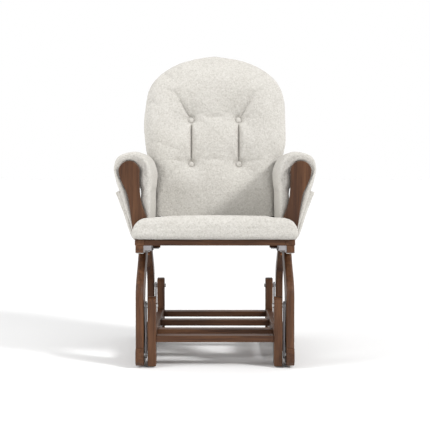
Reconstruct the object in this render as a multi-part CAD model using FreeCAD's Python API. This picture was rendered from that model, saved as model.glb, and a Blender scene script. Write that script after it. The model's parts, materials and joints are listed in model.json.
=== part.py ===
import FreeCAD, Part
import os

from FreeCAD import Placement, Rotation, Vector

# Glider nursery chair. Millimetres, +Z up, front towards -Y, +X to the right seen from the front.
# The origin is on the floor under the middle of the chair's box.
# A fixed inner base stands on the floor. Four steel links hang from it and carry the chair,
# whose side frames hang outside the base and nearly touch the floor.

# Base
LEG_INNER_X = 186.0
LEG_OUTER_X = 212.0
LEG_DEPTH = 50.0
LEG_TOP = 222.0
GLIDE_HEIGHT = 4.0
GLIDE_RADIUS = 11.0
CROSS_RAIL_HEIGHT = 20.0
CROSS_RAIL_DEPTH = 44.0
CROSS_RAIL_Z = 80.0
MID_CROSS_RAIL_Y = (-155.0, 45.0)
BASE_RAIL_LOW = 58.0
BASE_RAIL_HIGH = 108.0
BASE_RAIL_DOWEL_Z = (70.0, 97.0)

# Links and their pivots
PIVOT_FRONT_Y = -285.0
PIVOT_REAR_Y = 255.0
PIVOT_UPPER_Z = 194.0
LINK_LENGTH = 156.0
PIVOT_LOWER_Z = PIVOT_UPPER_Z - LINK_LENGTH
LINK_X = (215.5, 220.5)
LINK_HALF_WIDTH = 13.0
BOLT_RADIUS = 4.0
FIT = 0.05
BEARING_RADIUS = 9.0
SPACER_RADIUS = 7.5
CLIP_RADIUS = 6.5
CLIP_THICKNESS = 1.2
SIDE_PLAY = 0.2

# Side frames of the moving chair
SIDE_X = (224.0, 249.0)
LOWER_RAIL_Y = (-330.0, 300.0)
LOWER_RAIL_Z = (8.0, 64.0)
LOWER_RAIL_ARCH = 16.0
FRONT_POST_DEPTH = 100.0
REAR_POST_DEPTH = 48.0
POST_STRAIGHT_TOP = 215.0
POST_BULLNOSE = 8.0
POST_REACH = 155.0
POST_TOP = 380.0

# Seat frame, in a plane that slopes down to the rear
SEAT_FRONT_Y = -308.0
SEAT_FRONT_Z = 403.0
SEAT_TILT = 4.0
SEAT_LENGTH = 500.0
SEAT_RAIL_X = (220.0, 251.0)
SEAT_RAIL_THICK = 18.0
TOP_RAIL_THICK = 23.0
SLAT_WIDTH = 50.0
SLAT_THICK = 10.0
SLAT_PITCH = 72.0
SLAT_COUNT = 5
FIRST_SLAT_U = 62.0
FRONT_RAIL_U = (0.5, 45.0)
REAR_RAIL_U = (440.0, 500.0)
BRACKET_INNER_X = 199.0
BRACKET_LENGTH = 40.0
BRACKET_SHEET = 2.5
BRACKET_U = (2.0, 452.0)
MORTISE = 8.0

# Back frame, leaning back
BACK_FOOT_Y = 121.3
BACK_FOOT_Z = 375.0
RECLINE = 16.7
STILE_THICK = 22.0
STILE_INNER_X = 194.0
STILE_FOOT_W = -29.0
HOOP_CENTRE_V = 470.0
HOOP_OUTER = (236.0, 185.0)
HOOP_INNER = (194.0, 143.0)
BACK_SLAT_X = (48.0, 144.0)
BACK_SLAT_WIDTH = 40.0
BACK_SLAT_N = (6.0, 16.0)
BOTTOM_RAIL_N = (2.0, 20.0)
BOTTOM_RAIL_V = (28.0, 73.0)
EDGE_ROUND = 2.5

# Arms
PADDLE_Y = (-290.0, -267.0)
PADDLE_TOP = (270.0, 650.0)
PADDLE_INNER_LINE = [(201.0, 390.0), (214.5, 471.0), (231.0, 516.0), (237.0, 560.0), (238.0, 610.0)]
PADDLE_OUTER_LINE = [(302.0, 610.0), (296.0, 590.0), (278.5, 552.0), (270.0, 516.0), (247.5, 390.0)]
ARMREST_X = (242.0, 298.0)
ARMREST_Y = (-267.0, 140.0)
ARMREST_Z = (624.0, 641.0)
ARMREST_CORNER = 14.0
ARMREST_SHOULDER = 12.0
ARM_POST_Y = (85.0, 125.0)
ARM_POST_THICK = 20.0
ARM_POST_FOOT_X = 226.0
ARM_POST_HEAD_X = 244.0
ARM_SCREW_X = 253.0
ARM_SCREW_INSET = 11.0
PADDLE_BOLT_X = (231.0, 243.0)
PADDLE_BOLT_U = 30.0
ARM_POST_BOLT_U = (402.0, 418.0)

# Soft parts
SEAT_CUSHION_W = (5.0, 66.0)
SEAT_CUSHION_HALF = 198.0
SEAT_CUSHION_FRONT_HALF = 257.0
BACK_CUSHION_N = (-104.0, -6.0)
BUTTON_X = 84.0
BUTTON_V = (417.0, 253.0)
BUTTON_RADIUS = 11.0
BUTTON_THICK = 8.0
BUTTON_RECESS = 14.0
BACK_CUSHION_ARCH = [(236.0, 275.0), (247.0, 344.0), (251.0, 470.0), (219.0, 567.0), (140.0, 624.0)]
BACK_CUSHION_TOP = 655.0
PAD_Y = (-266.0, 140.0)
PAD_INNER_X = 243.0
PAD_ROLL = [(302.0, 551.0), (315.0, 600.0), (321.0, 630.0), (308.0, 665.0), (268.0, 678.0), (225.0, 667.0),
            (205.0, 632.0), (203.0, 590.0)]
PAD_PANELS = [(203.0, 590.0), (203.0, 412.0), (214.0, 412.0), (217.0, 450.0), (224.0, 500.0), (231.0, 545.0),
              (232.0, 585.0), (235.0, 610.0), (240.0, 622.0), (240.0, 643.0), (300.0, 643.0), (300.0, 602.0),
              (290.5, 552.0), (268.0, 470.0), (251.5, 405.0), (257.0, 405.0), (302.0, 551.0)]
POCKET_Y = (-255.0, 45.0)
POCKET_OUTER_LINE = [(317.0, 550.0), (292.0, 484.0), (271.0, 421.0), (259.0, 397.0)]
POCKET_INNER_LINE = [(254.0, 397.0), (254.0, 402.0), (259.5, 406.0), (267.0, 423.0), (288.0, 485.0),
                     (313.0, 550.0)]
POCKET_GUSSET = [(313.5, 550.0), (288.5, 484.0), (267.5, 421.0), (259.0, 404.5), (258.2, 406.5),
                 (303.2, 550.0)]
POCKET_GUSSET_THICK = 4.0

# Fasteners
DOWEL_RADIUS = 4.0
DOWEL_REACH = 15.0
POST_DOWEL_U = (138.0, 166.0, 447.0, 484.0)
SEAT_RAIL_DOWEL_U = (9.0, 20.0, 470.0, 486.0)
STILE_DOWEL_X = (207.0, 223.0)
BOTTOM_RAIL_DOWEL_V = (39.0, 62.0)
ARMREST_DOWEL_X = (258.0, 282.0)
CROSS_RAIL_DOWEL_OFFSET = 13.0
SCREW_RADIUS = 2.5
SCREW_HEAD_RADIUS = 5.5
SCREW_HEAD_HEIGHT = 2.5
SEAT_SCREW_U = (80.0, 262.0, 310.0, 380.0)
BACK_BOLT_TIP_X = 201.0
BACK_BOLT_HEAD_HEIGHT = 4.0
BACK_BOLT_PLACE = (437.0, -9.0)
LOWER_BACK_BOLT_PLACE = (433.0, -23.6)

FAR = 1500.0

os.makedirs("parts", exist_ok=True)


def save(name, shape):
    shape.exportStep("parts/" + name + ".step")


def box(x, y, z):
    return Part.makeBox(x[1] - x[0], y[1] - y[0], z[1] - z[0], Vector(x[0], y[0], z[0]))


def rod(start, end, radius):
    direction = end - start
    return Part.makeCylinder(radius, direction.Length, start, direction)


def x_rod(x, y, z, radius):
    return rod(Vector(x[0], y, z), Vector(x[1], y, z), radius)


def ring(x, y, z, outer, inner):
    return x_rod(x, y, z, outer).cut(x_rod((x[0] - 1.0, x[1] + 1.0), y, z, inner))


def soften(shape, radius):
    return shape.makeFillet(radius, shape.Edges)


def mirrored(shape):
    return shape.mirror(Vector(0, 0, 0), Vector(1, 0, 0))


def both(shapes):
    return shapes + [mirrored(shape) for shape in shapes]


def save_pair(name, right):
    save(name + "_right", right)
    save(name + "_left", mirrored(right))


def group(shapes):
    return Part.makeCompound(shapes)


def face(edges):
    return Part.Face(Part.Wire(Part.__sortEdges__(edges)))


def spline(points):
    curve = Part.BSplineCurve()
    curve.interpolate(points)
    return curve.toShape()


def polyline(points):
    return [Part.makeLine(a, b) for a, b in zip(points, points[1:])]


def xz_plate(points, y):
    plate = Part.Face(Part.makePolygon([Vector(x, y[0], z) for x, z in points + points[:1]]))
    return plate.extrude(Vector(0, y[1] - y[0], 0))


SEAT_PLACE = Placement(Vector(0, SEAT_FRONT_Y, SEAT_FRONT_Z), Rotation(Vector(1, 0, 0), -SEAT_TILT))
BACK_PLACE = Placement(Vector(0, BACK_FOOT_Y, BACK_FOOT_Z), Rotation(Vector(1, 0, 0), -RECLINE))


def on_seat(shape):
    """Place a shape drawn as X, distance back from the seat's front, height over the seat rails."""
    placed = shape.copy()
    placed.Placement = SEAT_PLACE.multiply(shape.Placement)
    return placed


def on_back(shape):
    """Place a shape drawn as X, depth behind the back frame's front face, distance up the back."""
    placed = shape.copy()
    placed.Placement = BACK_PLACE.multiply(shape.Placement)
    return placed


def below_seat_height(height):
    return on_seat(box((-FAR, FAR), (-FAR, FAR), (-FAR, height)))


def above_seat_height(height):
    return on_seat(box((-FAR, FAR), (-FAR, FAR), (height, FAR)))


# Fasteners are made first, because the wood is bored for them.

def upper_pivots():
    bolts = []
    spacers = []
    for y in (PIVOT_FRONT_Y, PIVOT_REAR_Y):
        z = PIVOT_UPPER_Z
        head = x_rod((LEG_INNER_X - 5.0, LEG_INNER_X), y, z, 7.0)
        clip_start = LINK_X[1] + SIDE_PLAY
        clip = x_rod((clip_start, clip_start + CLIP_THICKNESS), y, z, CLIP_RADIUS)
        shaft = x_rod((LEG_INNER_X, clip_start + CLIP_THICKNESS + 0.7), y, z, BOLT_RADIUS)
        bolts.append(head.fuse([shaft, clip]).removeSplitter())
        spacers.append(ring((LEG_OUTER_X, LINK_X[0] - SIDE_PLAY), y, z, SPACER_RADIUS, BOLT_RADIUS + FIT))
    return both(bolts), both(spacers)


def lower_pivots():
    bolts = []
    spacers = []
    for y in (PIVOT_FRONT_Y, PIVOT_REAR_Y):
        z = PIVOT_LOWER_Z
        head = x_rod((SIDE_X[1] - 5.0, SIDE_X[1] - 0.5), y, z, 8.0)
        clip_end = LINK_X[0] - SIDE_PLAY
        clip = x_rod((clip_end - CLIP_THICKNESS, clip_end), y, z, CLIP_RADIUS)
        shaft = x_rod((clip_end - CLIP_THICKNESS - 0.7, SIDE_X[1] - 5.0), y, z, BOLT_RADIUS)
        bolts.append(head.fuse([shaft, clip]).removeSplitter())
        spacers.append(ring((LINK_X[1] + SIDE_PLAY, SIDE_X[0]), y, z, SPACER_RADIUS, BOLT_RADIUS + FIT))
    return both(bolts), both(spacers)


def base_dowels():
    dowels = []
    for y, step in ((PIVOT_FRONT_Y, 1.0), (PIVOT_REAR_Y, -1.0)):
        inner_face = y + step * LEG_DEPTH / 2.0
        for z in BASE_RAIL_DOWEL_Z:
            x = (LEG_INNER_X + LEG_OUTER_X) / 2.0
            start = Vector(x, inner_face - step * DOWEL_REACH, z)
            dowels.append(rod(start, start + Vector(0, step * 2.0 * DOWEL_REACH, 0), DOWEL_RADIUS))
    rails = [(PIVOT_FRONT_Y, LEG_INNER_X), (PIVOT_REAR_Y, LEG_INNER_X)]
    rails += [(y, LEG_INNER_X + 2.0) for y in MID_CROSS_RAIL_Y]
    z = CROSS_RAIL_Z + CROSS_RAIL_HEIGHT / 2.0
    for y, end_x in rails:
        for offset in (-CROSS_RAIL_DOWEL_OFFSET, CROSS_RAIL_DOWEL_OFFSET):
            dowels.append(x_rod((end_x - DOWEL_REACH, end_x + 9.0), y + offset, z, DOWEL_RADIUS))
    return both(dowels)


def frame_dowels():
    dowels = []
    x = (SIDE_X[0] + SIDE_X[1]) / 2.0
    for y in (PIVOT_FRONT_Y - 24.0, PIVOT_FRONT_Y + 3.0, PIVOT_REAR_Y - 3.0, PIVOT_REAR_Y + 24.0):
        dowels.append(rod(Vector(x, y, 50.0), Vector(x, y, 80.0), DOWEL_RADIUS))
    for u in POST_DOWEL_U:
        low = -SEAT_RAIL_THICK - TOP_RAIL_THICK - DOWEL_REACH
        dowels.append(on_seat(rod(Vector(x, u, low), Vector(x, u, low + 28.0), DOWEL_RADIUS)))
    for u in SEAT_RAIL_DOWEL_U:
        start = Vector(SEAT_RAIL_X[0] - DOWEL_REACH, u, -SEAT_RAIL_THICK / 2.0)
        dowels.append(on_seat(rod(start, start + Vector(27.0, 0, 0), DOWEL_RADIUS)))
    middle = STILE_THICK / 2.0
    for x in STILE_DOWEL_X:
        start = Vector(x, middle, HOOP_CENTRE_V - DOWEL_REACH)
        dowels.append(on_back(rod(start, start + Vector(0, 0, 2.0 * DOWEL_REACH), DOWEL_RADIUS)))
    for v in BOTTOM_RAIL_DOWEL_V:
        start = Vector(STILE_INNER_X - DOWEL_REACH, middle, v)
        dowels.append(on_back(rod(start, start + Vector(27.0, 0, 0), DOWEL_RADIUS)))
    for x in ARMREST_DOWEL_X:
        start = Vector(x, PADDLE_Y[1] - 12.0, (ARMREST_Z[0] + ARMREST_Z[1]) / 2.0)
        dowels.append(rod(start, start + Vector(0, 2.0 * DOWEL_REACH, 0), DOWEL_RADIUS))
    hoop_v = HOOP_CENTRE_V + (HOOP_OUTER[1] + HOOP_INNER[1]) / 2.0
    start = Vector(-DOWEL_REACH, middle, hoop_v)
    crown = on_back(rod(start, start + Vector(2.0 * DOWEL_REACH, 0, 0), DOWEL_RADIUS))
    return both(dowels) + [crown]


def headed_bolt(start, end, radius, head_radius, head_height):
    """A bolt whose head sits outside the surface at its start."""
    axis = (end - start).normalize()
    head = rod(start - axis * head_height, start, head_radius)
    return rod(start, end, radius).fuse(head).removeSplitter()


def screw(start, end):
    return headed_bolt(start, end, SCREW_RADIUS, SCREW_HEAD_RADIUS, SCREW_HEAD_HEIGHT)


def seat_screws():
    """Screws up through the top rails, bolts up into the arm posts and screws down through the armrests."""
    under = -SEAT_RAIL_THICK - TOP_RAIL_THICK
    middle = (SIDE_X[0] + SIDE_X[1]) / 2.0
    places = [(middle, u, -3.0) for u in SEAT_SCREW_U]
    places += [(x, PADDLE_BOLT_U, 30.0) for x in PADDLE_BOLT_X]
    places += [(middle, u, 30.0) for u in ARM_POST_BOLT_U]
    screws = [on_seat(screw(Vector(x, u, under), Vector(x, u, tip))) for x, u, tip in places]
    for y in (ARM_POST_Y[0] + ARM_SCREW_INSET, ARM_POST_Y[1] - ARM_SCREW_INSET):
        top = Vector(ARM_SCREW_X, y, ARMREST_Z[1] - 3.0)
        screws.append(screw(top, top - Vector(0, 0, 45.0)))
    return both(screws)


def back_bolts():
    """Two bolts on each side through the seat's rails into the stile, with a washer in the lower gap."""
    u, w = BACK_BOLT_PLACE
    start = Vector(SEAT_RAIL_X[1], u, w)
    upper = headed_bolt(start, Vector(BACK_BOLT_TIP_X, u, w), 3.0, 7.0, BACK_BOLT_HEAD_HEIGHT)
    u, w = LOWER_BACK_BOLT_PLACE
    start = Vector(SIDE_X[1], u, w)
    lower = headed_bolt(start, Vector(BACK_BOLT_TIP_X, u, w), SCREW_RADIUS, 5.0, BACK_BOLT_HEAD_HEIGHT)
    start = Vector(SEAT_RAIL_X[0], u, w)
    washer = rod(start, start + Vector(SIDE_X[0] - SEAT_RAIL_X[0], 0, 0), 5.0)
    hole = rod(start - Vector(1.0, 0, 0), start + Vector(6.0, 0, 0), SCREW_RADIUS)
    return both([on_seat(upper), on_seat(lower), on_seat(washer.cut(hole))])


UPPER_BOLTS, UPPER_SPACERS = upper_pivots()
LOWER_BOLTS, LOWER_SPACERS = lower_pivots()
BASE_DOWELS = base_dowels()
FRAME_DOWELS = frame_dowels()
SEAT_SCREWS = seat_screws()
BACK_BOLTS = back_bolts()


def bored(shape, *fastener_groups):
    """Cut the fasteners that reach into a wooden piece out of it."""
    for fasteners in fastener_groups:
        near = [f for f in fasteners if f.BoundBox.intersect(shape.BoundBox)]
        if near:
            shape = shape.cut(near)
    return shape


# Base

def base_leg(y):
    leg = box((LEG_INNER_X, LEG_OUTER_X), (y - LEG_DEPTH / 2.0, y + LEG_DEPTH / 2.0), (GLIDE_HEIGHT, LEG_TOP))
    top_edges = [e for e in leg.Edges if e.BoundBox.ZMin > LEG_TOP - 1.0 and e.BoundBox.XLength > 1.0]
    leg = soften(leg.makeFillet(LEG_DEPTH * 0.36, top_edges), EDGE_ROUND)
    pivot = x_rod((LEG_INNER_X - 1.0, LEG_OUTER_X + 1.0), y, PIVOT_UPPER_Z, BOLT_RADIUS + FIT)
    return bored(leg.cut(pivot), BASE_DOWELS, [floor_glide(1.0, y)])


def floor_glide(side, y):
    x = side * (LEG_INNER_X + LEG_OUTER_X) / 2.0
    disc = Part.makeCylinder(GLIDE_RADIUS, GLIDE_HEIGHT, Vector(x, y, 0))
    disc = disc.makeFillet(1.0, [e for e in disc.Edges if e.BoundBox.ZMax < 0.5 and e.BoundBox.XLength > 1.0])
    nail = Part.makeCylinder(1.5, 14.0, Vector(x, y, GLIDE_HEIGHT))
    return disc.fuse(nail).removeSplitter()


def build_base():
    save_pair("base_leg_front", base_leg(PIVOT_FRONT_Y))
    save_pair("base_leg_rear", base_leg(PIVOT_REAR_Y))
    rail_y = (PIVOT_FRONT_Y + LEG_DEPTH / 2.0, PIVOT_REAR_Y - LEG_DEPTH / 2.0)
    rail = box((LEG_INNER_X + 2.0, LEG_OUTER_X - 2.0), rail_y, (BASE_RAIL_LOW, BASE_RAIL_HIGH))
    rail = soften(rail, EDGE_ROUND)
    save_pair("base_side_rail", bored(rail, BASE_DOWELS))
    save("base_cross_rail_front", cross_rail(PIVOT_FRONT_Y, LEG_INNER_X))
    save("base_cross_rail_rear", cross_rail(PIVOT_REAR_Y, LEG_INNER_X))
    save("base_cross_rails_mid", group([cross_rail(y, LEG_INNER_X + 2.0) for y in MID_CROSS_RAIL_Y]))
    glides = [floor_glide(side, y) for side in (-1.0, 1.0) for y in (PIVOT_FRONT_Y, PIVOT_REAR_Y)]
    save("floor_glides", group(glides))
    save("base_dowels", group(BASE_DOWELS))
    save("upper_pivot_bolts", group(UPPER_BOLTS))
    save("upper_pivot_spacers", group(UPPER_SPACERS))


def cross_rail(y, end_x):
    half = CROSS_RAIL_DEPTH / 2.0
    z = (CROSS_RAIL_Z, CROSS_RAIL_Z + CROSS_RAIL_HEIGHT)
    rail = box((-end_x, end_x), (y - half, y + half), z)
    return bored(soften(rail, EDGE_ROUND), BASE_DOWELS)


# Links

def build_link(name, y):
    low = Vector(LINK_X[0], y, PIVOT_LOWER_Z)
    high = Vector(LINK_X[0], y, PIVOT_UPPER_Z)
    across = Vector(0, LINK_HALF_WIDTH, 0)
    rise = Vector(0, 0, LINK_HALF_WIDTH)
    edges = [Part.makeLine(low + across, high + across)]
    edges.append(Part.Arc(high + across, high + rise, high - across).toShape())
    edges.append(Part.makeLine(high - across, low - across))
    edges.append(Part.Arc(low - across, low - rise, low + across).toShape())
    plate = face(edges).extrude(Vector(LINK_X[1] - LINK_X[0], 0, 0))
    bearings = []
    for z in (PIVOT_LOWER_Z, PIVOT_UPPER_Z):
        plate = plate.cut(x_rod((LINK_X[0] - 1.0, LINK_X[1] + 1.0), y, z, BEARING_RADIUS))
        bearings.append(bearing(y, z))
    rims = [e for e in plate.Edges if e.BoundBox.XLength < 0.1 and e.BoundBox.ZLength > 2.2 * BEARING_RADIUS]
    save_pair("link_" + name, plate.makeFillet(0.8, rims))
    save_pair("link_bearings_" + name, group(bearings))


def bearing(y, z):
    body = ring(LINK_X, y, z, BEARING_RADIUS, BOLT_RADIUS + FIT)
    for groove_x in ((LINK_X[0] - 1.0, LINK_X[0] + 0.6), (LINK_X[1] - 0.6, LINK_X[1] + 1.0)):
        body = body.cut(ring(groove_x, y, z, BEARING_RADIUS - 1.8, BOLT_RADIUS + 1.6))
    return body


# Side frames

def lower_rail():
    front, rear = LOWER_RAIL_Y
    low, high = LOWER_RAIL_Z
    x = SIDE_X[0]
    foot = 110.0
    nose = 12.0
    arch_start = Vector(x, rear - foot, low)
    arch_top = Vector(x, (front + rear) / 2.0, low + LOWER_RAIL_ARCH)
    arch_end = Vector(x, front + foot, low)
    around = [(front + foot, low), (front + nose, low), (front, low + nose), (front, high - nose),
              (front + nose, high), (rear - nose, high), (rear, high - nose), (rear, low + nose),
              (rear - nose, low), (rear - foot, low)]
    edges = polyline([Vector(x, y, z) for y, z in around])
    edges.append(Part.Arc(arch_start, arch_top, arch_end).toShape())
    rail = soften(face(edges).extrude(Vector(SIDE_X[1] - x, 0, 0)), 2.0)
    for y in (PIVOT_FRONT_Y, PIVOT_REAR_Y):
        rail = rail.cut(x_rod((x - 1.0, SIDE_X[1] + 1.0), y, PIVOT_LOWER_Z, BOLT_RADIUS + FIT))
        rail = rail.cut(x_rod((SIDE_X[1] - 5.0, SIDE_X[1] + 1.0), y, PIVOT_LOWER_Z, 9.0))
    return bored(rail, FRAME_DOWELS)


def swept_post(outer_y, step, depth):
    """A side post that stands up from the lower rail and curves in under the seat."""
    x = SIDE_X[0]
    foot = LOWER_RAIL_Z[1]
    reach = POST_REACH
    top = POST_TOP

    def point(offset, z):
        return Vector(x, outer_y + step * offset, z)

    def sweep(offset, straight_top, reach_here):
        curve = Part.BezierCurve()
        curve.setPoles([point(offset, straight_top), point(offset, straight_top + 75.0),
                        point(offset + 0.6 * reach_here, 295.0), point(offset + reach_here, top)])
        return curve.toShape()

    edges = [Part.makeLine(point(0, foot), point(0, POST_STRAIGHT_TOP)),
             sweep(0, POST_STRAIGHT_TOP, reach),
             Part.makeLine(point(reach, top), point(depth + reach + 14.0, top)),
             sweep(depth, POST_STRAIGHT_TOP - 25.0, reach + 14.0),
             Part.makeLine(point(depth, POST_STRAIGHT_TOP - 25.0), point(depth, foot)),
             Part.makeLine(point(depth, foot), point(0, foot))]
    post = face(edges).extrude(Vector(SIDE_X[1] - x, 0, 0))
    nose = [e for e in post.Edges if e.BoundBox.XLength < 0.1 and on_outer_side(e, outer_y, step)]
    inner = [e for e in post.Edges if e.BoundBox.XLength < 0.1 and not on_outer_side(e, outer_y, step)
             and e.BoundBox.ZLength > 1.0]
    post = post.makeFillet(POST_BULLNOSE, nose)
    inner = [e for e in post.Edges if any(same_edge(e, other) for other in inner)]
    post = post.makeFillet(3.0, inner)
    post = post.cut(above_seat_height(-SEAT_RAIL_THICK - TOP_RAIL_THICK))
    return bored(post, FRAME_DOWELS)


def on_outer_side(edge, outer_y, step):
    """True for the edges along the post's outer line."""
    middle = edge.valueAt((edge.FirstParameter + edge.LastParameter) / 2.0)
    if edge.BoundBox.ZLength < 1.0:
        return False
    if middle.z < POST_STRAIGHT_TOP:
        return abs(middle.y - outer_y) < 1.0
    return step * (middle.y - outer_y) < 30.0


def same_edge(edge, other):
    return edge.BoundBox.Center.distanceToPoint(other.BoundBox.Center) < 0.5


def build_side_frames():
    save_pair("side_lower_rail", lower_rail())
    save_pair("side_post_front", swept_post(PIVOT_FRONT_Y - 35.0, 1.0, FRONT_POST_DEPTH))
    save_pair("side_post_rear", swept_post(PIVOT_REAR_Y + 35.0, -1.0, REAR_POST_DEPTH))
    top_rail = box(SIDE_X, (0.0, SEAT_LENGTH), (-SEAT_RAIL_THICK - TOP_RAIL_THICK, -SEAT_RAIL_THICK))
    top_rail = on_seat(soften(top_rail, 2.0))
    save_pair("side_top_rail", bored(top_rail, FRAME_DOWELS, SEAT_SCREWS, BACK_BOLTS))
    save("lower_pivot_bolts", group(LOWER_BOLTS))
    save("lower_pivot_spacers", group(LOWER_SPACERS))


# Seat frame

def slat(u):
    half = SEAT_RAIL_X[0] + MORTISE
    return on_seat(box((-half, half), (u, u + SLAT_WIDTH), (-SLAT_THICK - 5.0, -5.0)))


def corner_bracket(u):
    """A folded steel angle in a corner under the seat frame, with a web across its front end."""
    sheet = BRACKET_SHEET
    top = -SEAT_RAIL_THICK
    flange = box((BRACKET_INNER_X, SIDE_X[0]), (u, u + BRACKET_LENGTH), (top - sheet, top))
    wall = box((SIDE_X[0] - sheet, SIDE_X[0]), (u, u + BRACKET_LENGTH), (top - 21.0, top))
    web = box((BRACKET_INNER_X, SIDE_X[0]), (u, u + sheet), (top - 15.0, top))
    return on_seat(flange.fuse([wall, web]).removeSplitter())


def build_seat_frame():
    slats = [slat(FIRST_SLAT_U + SLAT_PITCH * i) for i in range(SLAT_COUNT)]
    save("seat_slats", group(slats))
    rail = on_seat(soften(box(SEAT_RAIL_X, (0.0, SEAT_LENGTH), (-SEAT_RAIL_THICK, 0.0)), 2.0))
    save_pair("seat_side_rail", bored(rail, slats, FRAME_DOWELS, SEAT_SCREWS, BACK_BOLTS))
    half = SEAT_RAIL_X[0]
    front = on_seat(soften(box((-half, half), FRONT_RAIL_U, (-SEAT_RAIL_THICK, 0.0)), 2.0))
    save("seat_front_rail", bored(front, FRAME_DOWELS))
    rear = on_seat(soften(box((-half, half), REAR_RAIL_U, (-SEAT_RAIL_THICK, 0.0)), 2.0))
    in_front = on_back(box((-FAR, FAR), (-FAR, STILE_THICK), (-FAR, FAR)))
    save("seat_rear_rail", bored(rear.cut(in_front), FRAME_DOWELS))
    save("corner_brackets", group(both([corner_bracket(u) for u in BRACKET_U])))
    save("frame_dowels", group(FRAME_DOWELS))
    save("seat_screws", group(SEAT_SCREWS))
    save("back_bolts", group(BACK_BOLTS))


# Back frame

def elliptic_disc(radii, n):
    """An ellipse about the hoop's centre, wider than it is high."""
    a, b = radii
    centre = Vector(0, n, HOOP_CENTRE_V)
    ellipse = Part.Ellipse(centre + Vector(a, 0, 0), centre + Vector(0, 0, b), centre)
    return Part.Face(Part.Wire(ellipse.toShape()))


def hoop_half():
    outer = elliptic_disc(HOOP_OUTER, 0.0).extrude(Vector(0, STILE_THICK, 0))
    inner = elliptic_disc(HOOP_INNER, -1.0).extrude(Vector(0, STILE_THICK + 2.0, 0))
    quarter = box((0.0, 300.0), (-1.0, STILE_THICK + 1.0), (HOOP_CENTRE_V, HOOP_CENTRE_V + 300.0))
    hoop = outer.cut(inner).common(quarter)
    return soften(hoop, EDGE_ROUND)


def stile():
    low = -42.0
    points = [(STILE_INNER_X, low), (SEAT_RAIL_X[0], low), (SEAT_RAIL_X[0], 30.0),
              (HOOP_OUTER[0], HOOP_CENTRE_V), (STILE_INNER_X, HOOP_CENTRE_V)]
    return soften(xz_plate(points, (0.0, STILE_THICK)), EDGE_ROUND)


def back_slat(x):
    half = BACK_SLAT_WIDTH / 2.0
    n = BACK_SLAT_N
    tall = box((x - half, x + half), n, (BOTTOM_RAIL_V[1] - MORTISE, HOOP_CENTRE_V + HOOP_OUTER[1]))
    reach = (HOOP_INNER[0] + MORTISE, HOOP_INNER[1] + MORTISE)
    top = elliptic_disc(reach, n[0]).extrude(Vector(0, n[1] - n[0], 0))
    below = box((x - half, x + half), n, (0.0, HOOP_CENTRE_V))
    return tall.common(top.fuse(below)).removeSplitter()


def build_back_frame():
    slats = [back_slat(side * x) for x in BACK_SLAT_X for side in (-1.0, 1.0)]
    placed_slats = [on_back(one) for one in slats]
    save("back_slats", group(placed_slats))
    foot = below_seat_height(STILE_FOOT_W)
    save_pair("back_stile", bored(on_back(stile()).cut(foot), FRAME_DOWELS, BACK_BOLTS))
    save_pair("back_hoop", bored(on_back(hoop_half()), placed_slats, FRAME_DOWELS))
    rail = box((-STILE_INNER_X, STILE_INNER_X), BOTTOM_RAIL_N, BOTTOM_RAIL_V)
    save("back_bottom_rail", bored(on_back(soften(rail, EDGE_ROUND)), placed_slats, FRAME_DOWELS))


# Arms

def paddle():
    """Broad front arm post with a rounded lobe at its top, leaning in towards the seat."""
    y = PADDLE_Y[0]
    inner_points = [Vector(x, y, z) for x, z in PADDLE_INNER_LINE]
    outer_points = [Vector(x, y, z) for x, z in PADDLE_OUTER_LINE]
    top = Vector(PADDLE_TOP[0], y, PADDLE_TOP[1])
    lobe = Part.Arc(inner_points[-1], top, outer_points[0]).toShape()
    edges = [spline(inner_points), lobe, spline(outer_points),
             Part.makeLine(outer_points[-1], inner_points[0])]
    board = soften(face(edges).extrude(Vector(0, PADDLE_Y[1] - y, 0)), EDGE_ROUND)
    return bored(board.cut(below_seat_height(0.0)), FRAME_DOWELS, SEAT_SCREWS)


def rear_arm_post():
    foot = ARM_POST_FOOT_X
    head = ARM_POST_HEAD_X
    top = ARMREST_Z[0]
    points = [(foot, 350.0), (foot + ARM_POST_THICK, 350.0), (head + ARM_POST_THICK, top), (head, top)]
    post = soften(xz_plate(points, ARM_POST_Y), EDGE_ROUND)
    return bored(post.cut(below_seat_height(0.0)), SEAT_SCREWS)


def armrest():
    board = box(ARMREST_X, ARMREST_Y, ARMREST_Z)
    corners = [e for e in board.Edges if e.BoundBox.ZLength > 1.0 and e.BoundBox.YMin > 0.0]
    board = board.makeFillet(ARMREST_CORNER, corners)
    shoulders = [e for e in board.Edges if e.BoundBox.ZMin > ARMREST_Z[1] - 0.5
                 and e.BoundBox.YLength > 100.0]
    board = board.makeFillet(ARMREST_SHOULDER, shoulders)
    for y in (ARM_POST_Y[0] + ARM_SCREW_INSET, ARM_POST_Y[1] - ARM_SCREW_INSET):
        board = board.cut(Part.makeCylinder(6.0, 10.0, Vector(ARM_SCREW_X, y, ARMREST_Z[1] - 3.0)))
    return bored(board, FRAME_DOWELS, SEAT_SCREWS)


def build_arms():
    save_pair("arm_front_post", paddle())
    save_pair("arm_rear_post", rear_arm_post())
    save_pair("armrest", armrest())


# Soft parts

def seat_cushion():
    front = box((-SEAT_CUSHION_FRONT_HALF, SEAT_CUSHION_FRONT_HALF), (-13.0, 10.0), SEAT_CUSHION_W)
    main = box((-SEAT_CUSHION_HALF, SEAT_CUSHION_HALF), (5.0, 420.0), SEAT_CUSHION_W)
    cushion = front.fuse(main).removeSplitter()
    front_edges = [e for e in cushion.Edges if e.BoundBox.YMax < 0.0 and e.BoundBox.XLength > 100.0]
    return on_seat(cushion.makeFillet(10.0, front_edges))


def button_place(side, v, n):
    return Vector(side * BUTTON_X, n, v)


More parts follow.
